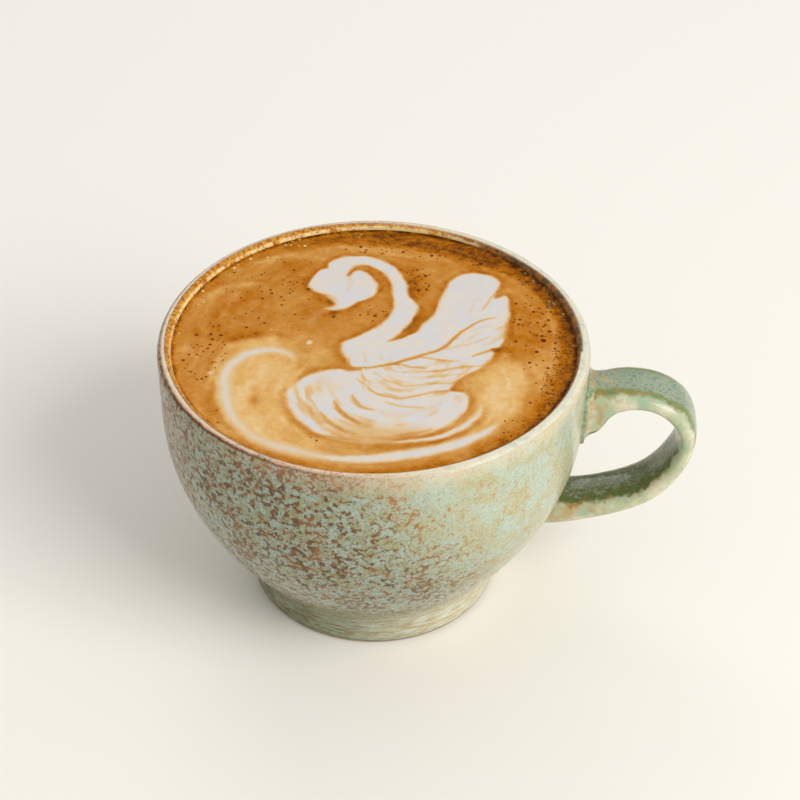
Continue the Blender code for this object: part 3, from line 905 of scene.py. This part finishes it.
def make_drink():
    """Top: the level, rising to the wall as a meniscus, with milk a hair higher than crema. Sides: the
    cavity's profile plus the reach into the wall, closed by a fan on the floor."""
    edge = wall_inside + into_wall
    x, y = disc_grid(edge)
    milk = milk_at(x, y)
    dark = darkness_at(x, y)
    radius = np.hypot(x, y)
    relief = milk_rise * milk + 0.03 * drift(x, y, 1.7, 31) + 0.015 * drift(x, y, 0.6, 32)
    z = drink_level - below_level + climb_at(radius) + relief * soft_step(edge, edge - 1, radius)
    top = np.stack([axis_x + x, y, z], -1).reshape(-1, 3)
    number = np.arange(len(top)).reshape(cells + 1, cells + 1)
    quads = np.stack([number[:-1, :-1], number[:-1, 1:], number[1:, 1:], number[1:, :-1]], -1).reshape(-1, 4)
    border = np.concatenate([number[0, :-1], number[:-1, -1], number[-1, :0:-1], number[:0:-1, 0]])
    levels = np.repeat(np.array(buried_levels)[:, None], len(border), axis=1)
    turn = np.arctan2(y.ravel()[border], x.ravel()[border])
    rings = around(cavity_radius(levels) + into_wall, turn, levels)
    wall = np.vstack([border[None, :], len(top) + np.arange(levels.size).reshape(levels.shape)])
    beside = np.roll(wall, -1, axis=1)
    skirt = np.stack([wall[:-1], wall[1:], beside[1:], beside[:-1]], -1).reshape(-1, 4)
    points = np.vstack([top, rings.reshape(-1, 3), [[axis_x, 0, floor_inside + 0.3]]])
    attributes = {"milk": milk, "dark": np.append(dark, np.full(len(points) - len(top), 0.9))}
    closed = fan(wall[-1][::-1], len(points) - 1)
    return new_piece("drink", points, np.vstack([quads, skirt]), closed, attributes)


def make_crema():
    """Crema from pale tan over amber to nearly black along its darkness, and milk over it. Both carry a
    grain of tiny bubbles and are almost without shine."""
    made, tree, shader = new_finish("crema_and_milk", 0.5, specular=0.03, coat=0)
    place = in_millimetres(tree)
    milk = value_of(tree, "milk")
    grain = clouds(place, 0.5, 3, 0.6)
    dark = scaled(sums("SUBTRACT", grain, 0.5), 0.22, value_of(tree, "dark"))
    ramp = wire("ShaderNodeValToRGB", {0: dark})
    for at, colour in ((0.05, srgb(234, 204, 154)), (0.22, srgb(226, 178, 106)), (0.42, srgb(203, 141, 64)),
                       (0.6, srgb(184, 108, 8)), (0.78, srgb(132, 70, 4)), (0.96, srgb(78, 36, 2))):
        ramp.color_ramp.elements.new(at).color = colour
    for end in (-1, 0):
        ramp.color_ramp.elements.remove(ramp.color_ramp.elements[end])
    golden = between(clouds(place, 2.4, 5, 0.7), 0.48, 0.66)
    golden = times(golden, between(dark, 0.3, 0.48))
    crema = blended(golden, ramp.outputs[0], srgb(202, 132, 22), 0.45)
    patchy = between(clouds(place, 5), 0.4, 0.62)
    purest = blended(patchy, srgb(216, 213, 213), srgb(222, 214, 203))
    white = blended(between(milk, 0.45, 1), srgb(226, 194, 142), purest)
    colour = blended(between(milk, 0.05, 0.75), crema, white)
    bubbles = wire("ShaderNodeTexVoronoi", {"Vector": place, "Scale": 2.6}).outputs[0]
    relief = scaled(sums("SUBTRACT", 1, milk), bubbles, grain)
    cover_with(shader, colour, relief, 0.15)
    return made


drink = make_drink()
drink.data.materials.append(make_crema())
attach(drink, "root")
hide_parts("coffee", "foam_neck_and_wing", "foam_body", "foam_crescent")

# Bubbles
# Open pores in the crema, which read as dark pinholes, glassy bubbles crowded against the wall on the
# handle's side, and flecks of pale foam that cling along the wall on the far left. Each is a low dome of
# a few faces on the surface, and each kind is one mesh.
# A zone is: centre x and y, half sizes, how many, smallest and largest radius.
pore_zones = (
    (-26, 17, 17, 17, 60, 0.22, 0.5),
    (-23, 22, 6, 4, 12, 0.3, 0.56),
    (8, 28, 4, 7, 26, 0.26, 0.54),
    (-3, 12, 5, 4, 14, 0.22, 0.5),
    (39, 9, 7.5, 17, 64, 0.22, 0.54),
    (41, 12, 4.5, 8, 14, 0.36, 0.72),
    (26, 38, 5, 3.6, 16, 0.3, 0.62),
    (12, 41, 24, 4.5, 44, 0.22, 0.5),
    (-40.5, -8, 5, 12, 46, 0.22, 0.5),
    (-33, -34, 7, 8, 14, 0.22, 0.46),
    (43, -18, 4, 10, 40, 0.18, 0.42),
    (-12, 41, 12, 3, 12, 0.24, 0.56),
    (-10.5, -38, 2, 0.8, 3, 0.22, 0.3),
)
bubble_zones = (
    (36.5, 31.5, 3, 3, 40, 0.18, 0.6),
    (43.4, 23.5, 2.2, 5, 70, 0.3, 0.9),
    (47.2, 15.5, 1.4, 4, 36, 0.3, 0.8),
    (46.2, 2, 2.6, 10, 150, 0.14, 0.42),
    (44.4, -14, 3, 10, 150, 0.12, 0.36),
    (37, -31, 5, 6, 50, 0.1, 0.3),
    (22, 44, 12, 2.6, 40, 0.14, 0.4),
)
fleck_zones = (
    (-48.3, 4, 1, 12, 60, 0.14, 0.4),
    (-45.6, 18, 1.6, 7, 70, 0.14, 0.5),
    (-40.6, 27.4, 2.2, 5, 70, 0.16, 0.6),
    (-34, 35, 3.4, 3.4, 80, 0.16, 0.65),
    (-25.5, 41.6, 4.4, 2, 70, 0.14, 0.5),
    (-13, 46.6, 6, 1.2, 40, 0.12, 0.36),
)
least_gap = 0.02
most_milk = 0.05
mostly_small = 2.2
dome_sink = 0.06
dome_sides = 12
dome_rings = 3


def scatter(zones, seed, margin):
    """Random places, evenly spread in each zone's ellipse, kept off the milk and inside the wall, and
    not on top of one another. A place is its x, its y and the radius of what sits there."""
    random = np.random.default_rng(seed)
    kept = np.zeros((0, 3))
    for centre_x, centre_y, half_x, half_y, count, small, large in zones:
        reach = np.sqrt(random.uniform(0, 1, count))
        turn = random.uniform(0, 2 * math.pi, count)
        size = small + (large - small) * random.uniform(0, 1, count) ** mostly_small
        x = centre_x + half_x * reach * np.cos(turn)
        y = centre_y + half_y * reach * np.sin(turn)
        good = (milk_at(x, y) < most_milk) & (np.hypot(x, y) + size < wall_inside - margin)
        for place in np.stack([x, y, size], -1)[good]:
            apart = np.hypot(*(kept[:, :2] - place[:2]).T) - kept[:, 2] - place[2]
            if np.all(apart > least_gap):
                kept = np.vstack([kept, place])
    return kept


def make_domes(name, places, rise):
    """A dome at each place: rings at radius r cos(a) and height rise r sin(a), closed by a fan on top and
    one below. Its foot follows the rise of the drink at the wall. Tint grows with the dome's size."""
    tilt = np.linspace(0, math.pi / 2, dome_rings + 1)[:-1, None]
    turn = np.arange(dome_sides) * 2 * math.pi / dome_sides
    ring = np.stack([np.cos(tilt) * np.cos(turn), np.cos(tilt) * np.sin(turn),
                     np.sin(tilt) * rise * np.ones(dome_sides)], -1).reshape(-1, 3)
    shape = np.vstack([ring, [[0, 0, -rise]], [[0, 0, rise]]])
    count = len(shape)
    x, y, size = places.T
    foot = drink_level - dome_sink + climb_at(np.hypot(x, y))
    centre = np.stack([axis_x + x, y, foot], -1)
    points = (shape * size[:, None, None] + centre[:, None]).reshape(-1, 3)
    start = np.arange(len(places))[:, None, None] * count
    quads, caps = (faces + start for faces in tube_faces(dome_rings, dome_sides))
    chance = np.random.default_rng(count).uniform(-0.1, 0.1, len(places))
    tint = np.repeat(soft_step(0.15, 0.75, size + chance), count)
    return new_piece(name, points, quads.reshape(-1, 4), caps.reshape(-1, 3), {"tint": tint})


def make_wet(name, darkest, lightest, roughness, coat):
    """A skin between two colours by each bubble's tint."""
    made, tree, shader = new_finish(name, roughness, specular=0.05, coat=coat)
    feed(shader, "Base Color", blended(value_of(tree, "tint"), darkest, lightest))
    return made


pores = make_domes("crema_pores", scatter(pore_zones, 5, 0.2), 0.22)
pores.data.materials.append(make_wet("open_pores", srgb(150, 82, 24), srgb(96, 42, 6), 0.6, 0))
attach(pores, "root")
# The larger wall bubbles are paler tan: a painted highlight, stronger on the bigger domes
wall_bubbles = make_domes("wall_bubbles", scatter(bubble_zones, 6, 0.1), 0.5)
wall_bubbles.data.materials.append(make_wet("bubble_skin", srgb(120, 62, 12), srgb(142, 120, 66), 0.2, 0.15))
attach(wall_bubbles, "root")
foam_flecks = make_domes("foam_flecks", scatter(fleck_zones, 7, 0.05), 0.45)
foam_flecks.data.materials.append(make_wet("foam_skin", srgb(196, 140, 44), srgb(232, 208, 138), 0.3, 0.2))
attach(foam_flecks, "root")

# Stage, light and camera
# A plain pale floor, one broad soft light from the front right, a weaker one from behind and a pale
# surround, as in a product photograph. The camera looks down from the front, the handle to its right.
# Distances are in metres here, angles in degrees and the lens in millimetres.
floor_size = 6
floor_colour = srgb(251, 248, 241)
lamp_aim = 0.05
surround_colour = (1, 0.99, 0.97, 1)
surround_strength = 0.53
camera_azimuth = 5.97
camera_elevation = 36.82
camera_roll = 0.71
camera_distance = 0.4506
camera_lens = 82.8
aim_right = 0.0065
aim_height = 0.0542


def make_floor():
    """One square face at the height of the table, in matt paper."""
    mesh = bpy.data.meshes.new("floor")
    half = floor_size / 2
    corners = [(-half, -half, 0), (half, -half, 0), (half, half, 0), (-half, half, 0)]
    mesh.from_pydata(corners, [], [(0, 1, 2, 3)])
    paper, tree, shader = new_finish("floor_paper", 0.9, specular=0, coat=0)
    shader.inputs["Base Color"].default_value = floor_colour
    mesh.materials.append(paper)
    return placed("floor", mesh)


def looking(place, direction, roll):
    """The matrix of a camera or lamp at a place, facing a direction, turned by roll about it."""
    ahead = direction / np.linalg.norm(direction)
    right = np.cross(ahead, (0, 0, 1))
    right /= np.linalg.norm(right)
    up = np.cross(right, ahead)
    c, s = math.cos(roll), math.sin(roll)
    right, up = c * right + s * up, c * up - s * right
    return Matrix([(*row, at) for row, at in zip(np.stack([right, up, -ahead], 1), place)] + [(0, 0, 0, 1)])


def make_light(name, place, size, power, colour):
    """A square lamp at a place, facing the middle of the cup."""
    lamp = bpy.data.lights.new(name, "AREA")
    lamp.size = size
    lamp.energy = power
    lamp.color = colour
    placed(name, lamp).matrix_world = looking(place, np.array([axis_x * MM, 0, lamp_aim]) - place, 0)


def make_camera():
    """The camera circles the cup's axis at the height of the rim; it aims a little to the right of it."""
    turn = math.radians(camera_azimuth)
    lift = math.radians(camera_elevation)
    right = np.array([math.cos(turn), math.sin(turn), 0])
    back = np.array([math.sin(turn) * math.cos(lift), -math.cos(turn) * math.cos(lift), math.sin(lift)])
    place = np.array([axis_x * MM, 0, height * MM]) + back * camera_distance
    aim = np.array([axis_x * MM, 0, aim_height]) + right * aim_right
    lens = bpy.data.cameras.new("camera")
    lens.lens = camera_lens
    made = placed("camera", lens)
    made.matrix_world = looking(place, aim - place, math.radians(camera_roll))
    bpy.context.scene.camera = made


floor = make_floor()
make_light("key_light", (1.1, -0.72, 1.1), 0.95, 19.5, (1, 0.985, 0.96))
make_light("back_light", (-0.45, 1.2, 0.95), 0.8, 3.5, (1, 1, 1))
surround = bpy.data.worlds.new("surround")
surround.use_nodes = True
background = surround.node_tree.nodes["Background"]
background.inputs["Color"].default_value = surround_colour
background.inputs["Strength"].default_value = surround_strength
bpy.context.scene.world = surround
bpy.context.scene.view_settings.view_transform = "Standard"
make_camera()
